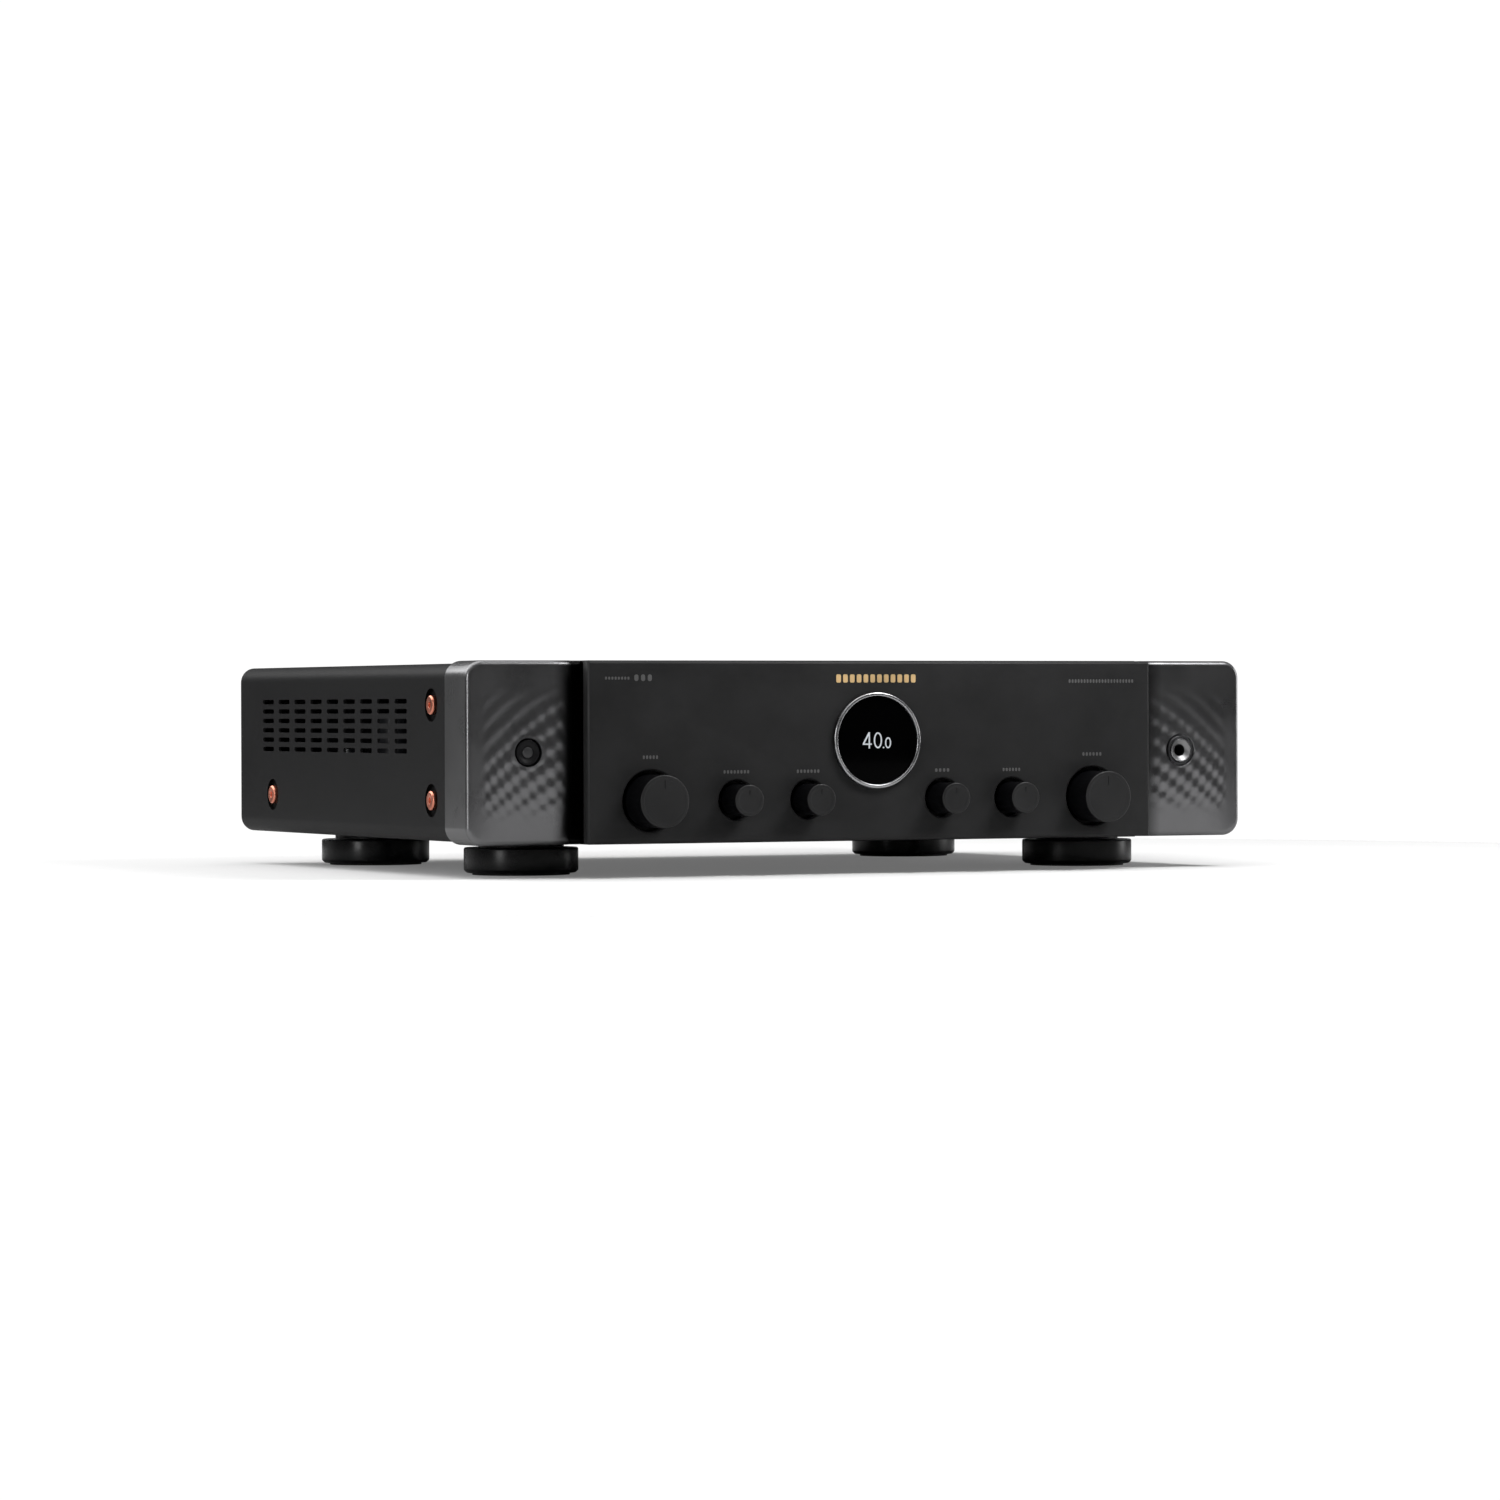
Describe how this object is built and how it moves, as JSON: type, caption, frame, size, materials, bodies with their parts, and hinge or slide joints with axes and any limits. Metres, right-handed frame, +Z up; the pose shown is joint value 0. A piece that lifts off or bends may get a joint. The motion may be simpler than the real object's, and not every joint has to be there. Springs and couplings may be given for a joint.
{
  "type": "stereo receiver",
  "caption": "Slimline stereo receiver with a round display, turning knobs, ventilated cover, round feet, and sockets, terminals and folding aerials at the back.",
  "frame": {"origin": "middle of the footprint, on the surface that the feet stand on", "axes": "+X to the right seen from the front, +Y to the back, +Z up"},
  "size_m": [0.442, 0.384, 0.109],
  "materials": {
    "zinc_sheet": "galvanised sheet, dull",
    "cover_paint": "fine black texture paint, satin",
    "copper_screw": "copper plated, satin",
    "rear_paint": "fine black texture paint, matt",
    "black_screw": "black zinc, satin",
    "bezel_plastic": "moulded with a dimpled relief, satin",
    "panel_aluminium": "black anodised, fine brushed",
    "chrome_ring": "polished",
    "display_glass": "dark tinted, polished",
    "display_parts": "display module, matt",
    "control_body": "pressed cans, satin",
    "nickel": "nickel plated",
    "circuit_board": "fibre laminate with solder mask",
    "black_plastic": "moulded, matt",
    "knob_metal": "black anodised, satin",
    "foot_plastic": "moulded, glossy",
    "pad_rubber": "soft pad, matt",
    "core_iron": "varnished laminations",
    "coil_copper": "wound wire under tape",
    "capacitor_sleeve": "shrink sleeve",
    "heat_sink_aluminium": "extruded, bare",
    "socket_shell": "tinned shell",
    "gold_contact": "gold plated",
    "post_red": "moulded, red",
    "post_black": "moulded, black",
    "antenna_plastic": "moulded, matt"
  },
  "bodies": {
    "receiver": {"chassis_tray": "zinc_sheet", "top_cover": "cover_paint", "cover_screws": "copper_screw", "rear_panel": "rear_paint", "rear_screws": "black_screw", "front_bezel": "bezel_plastic", "front_panel": "panel_aluminium", "display_ring": "chrome_ring", "display_window": "display_glass", "display_module": "display_parts", "rotary_switches": "control_body", "potentiometers": "control_body", "shaft_nuts": "nickel", "control_board": "circuit_board", "power_switch": "black_plastic", "headphone_jack": "black_plastic", "headphone_nut": "chrome_ring", "feet": "foot_plastic", "foot_pads": "pad_rubber", "foot_screws": "nickel", "transformer_core": "core_iron", "transformer_coil": "coil_copper", "power_board": "circuit_board", "filter_capacitors": "capacitor_sleeve", "amplifier_board": "circuit_board", "heat_sink": "heat_sink_aluminium", "output_transistors": "black_plastic", "digital_board": "circuit_board", "hdmi_sockets": "socket_shell", "network_socket": "socket_shell", "analog_board": "circuit_board", "rca_jacks": "gold_contact", "terminal_block": "black_plastic", "terminal_studs": "gold_contact", "ac_inlet": "black_plastic", "tuner_module": "socket_shell", "antenna_mounts": "black_plastic"},
    "input": {"input_knob": "knob_metal", "input_shaft": "nickel"},
    "mode": {"mode_knob": "knob_metal", "mode_shaft": "nickel"},
    "balance": {"balance_knob": "knob_metal", "balance_shaft": "nickel"},
    "bass": {"bass_knob": "knob_metal", "bass_shaft": "nickel"},
    "treble": {"treble_knob": "knob_metal", "treble_shaft": "nickel"},
    "volume": {"volume_knob": "knob_metal", "volume_shaft": "nickel"},
    "power_button": {"power_button": "knob_metal"},
    "antenna_left": {"antenna_left": "antenna_plastic"},
    "antenna_right": {"antenna_right": "antenna_plastic"},
    "post_collar_1": {"post_collar_1": "gold_contact"},
    "post_cap_1": {"post_cap_1": "post_red"},
    "post_collar_2": {"post_collar_2": "gold_contact"},
    "post_cap_2": {"post_cap_2": "post_black"},
    "post_collar_3": {"post_collar_3": "gold_contact"},
    "post_cap_3": {"post_cap_3": "post_red"},
    "post_collar_4": {"post_collar_4": "gold_contact"},
    "post_cap_4": {"post_cap_4": "post_black"}
  },
  "joints": [
    {"name": "input_turn", "type": "hinge", "parent": "receiver", "child": "input", "pos_m": [-0.126, -0.175, 0.0384], "axis": [0, 1, 0], "continuous": true},
    {"name": "mode_turn", "type": "hinge", "parent": "receiver", "child": "mode", "pos_m": [-0.0785, -0.175, 0.0384], "axis": [0, 1, 0], "range_deg": [0, 90]},
    {"name": "balance_turn", "type": "hinge", "parent": "receiver", "child": "balance", "pos_m": [-0.0383, -0.175, 0.0384], "axis": [0, 1, 0], "range_deg": [-150, 150]},
    {"name": "bass_turn", "type": "hinge", "parent": "receiver", "child": "bass", "pos_m": [0.0383, -0.175, 0.0384], "axis": [0, 1, 0], "range_deg": [-150, 150]},
    {"name": "treble_turn", "type": "hinge", "parent": "receiver", "child": "treble", "pos_m": [0.0785, -0.175, 0.0384], "axis": [0, 1, 0], "range_deg": [-150, 150]},
    {"name": "volume_turn", "type": "hinge", "parent": "receiver", "child": "volume", "pos_m": [0.126, -0.175, 0.0384], "axis": [0, 1, 0], "continuous": true},
    {"name": "power_push", "type": "slide", "parent": "receiver", "child": "power_button", "axis": [0, 1, 0], "range_m": [0, 0.0015], "stiffness_N_per_m": 600, "springref_m": -0.0005},
    {"name": "antenna_left_swing", "type": "hinge", "parent": "receiver", "child": "antenna_left", "pos_m": [-0.2, 0.177, 0.092], "axis": [0, -1, 0], "range_deg": [0, 90]},
    {"name": "antenna_right_swing", "type": "hinge", "parent": "receiver", "child": "antenna_right", "pos_m": [0.2, 0.177, 0.092], "axis": [0, 1, 0], "range_deg": [0, 90]},
    {"name": "post_slide_1", "type": "slide", "parent": "receiver", "child": "post_collar_1", "axis": [0, 1, 0], "range_m": [0, 0.00438]},
    {"name": "post_turn_1", "type": "hinge", "parent": "post_collar_1", "child": "post_cap_1", "pos_m": [-0.15, 0.183, 0.041], "axis": [0, 1, 0], "range_deg": [0, 1260.1]},
    {"name": "post_slide_2", "type": "slide", "parent": "receiver", "child": "post_collar_2", "axis": [0, 1, 0], "range_m": [0, 0.00438]},
    {"name": "post_turn_2", "type": "hinge", "parent": "post_collar_2", "child": "post_cap_2", "pos_m": [-0.131, 0.183, 0.041], "axis": [0, 1, 0], "range_deg": [0, 1260.1]},
    {"name": "post_slide_3", "type": "slide", "parent": "receiver", "child": "post_collar_3", "axis": [0, 1, 0], "range_m": [0, 0.00438]},
    {"name": "post_turn_3", "type": "hinge", "parent": "post_collar_3", "child": "post_cap_3", "pos_m": [-0.112, 0.183, 0.041], "axis": [0, 1, 0], "range_deg": [0, 1260.1]},
    {"name": "post_slide_4", "type": "slide", "parent": "receiver", "child": "post_collar_4", "axis": [0, 1, 0], "range_m": [0, 0.00438]},
    {"name": "post_turn_4", "type": "hinge", "parent": "post_collar_4", "child": "post_cap_4", "pos_m": [-0.093, 0.183, 0.041], "axis": [0, 1, 0], "range_deg": [0, 1260.1]}
  ],
  "couplings": [
    {"joint": "post_turn_1", "follows": "post_slide_1", "rad_per_m": 5026.5},
    {"joint": "post_turn_2", "follows": "post_slide_2", "rad_per_m": 5026.5},
    {"joint": "post_turn_3", "follows": "post_slide_3", "rad_per_m": 5026.5},
    {"joint": "post_turn_4", "follows": "post_slide_4", "rad_per_m": 5026.5}
  ]
}
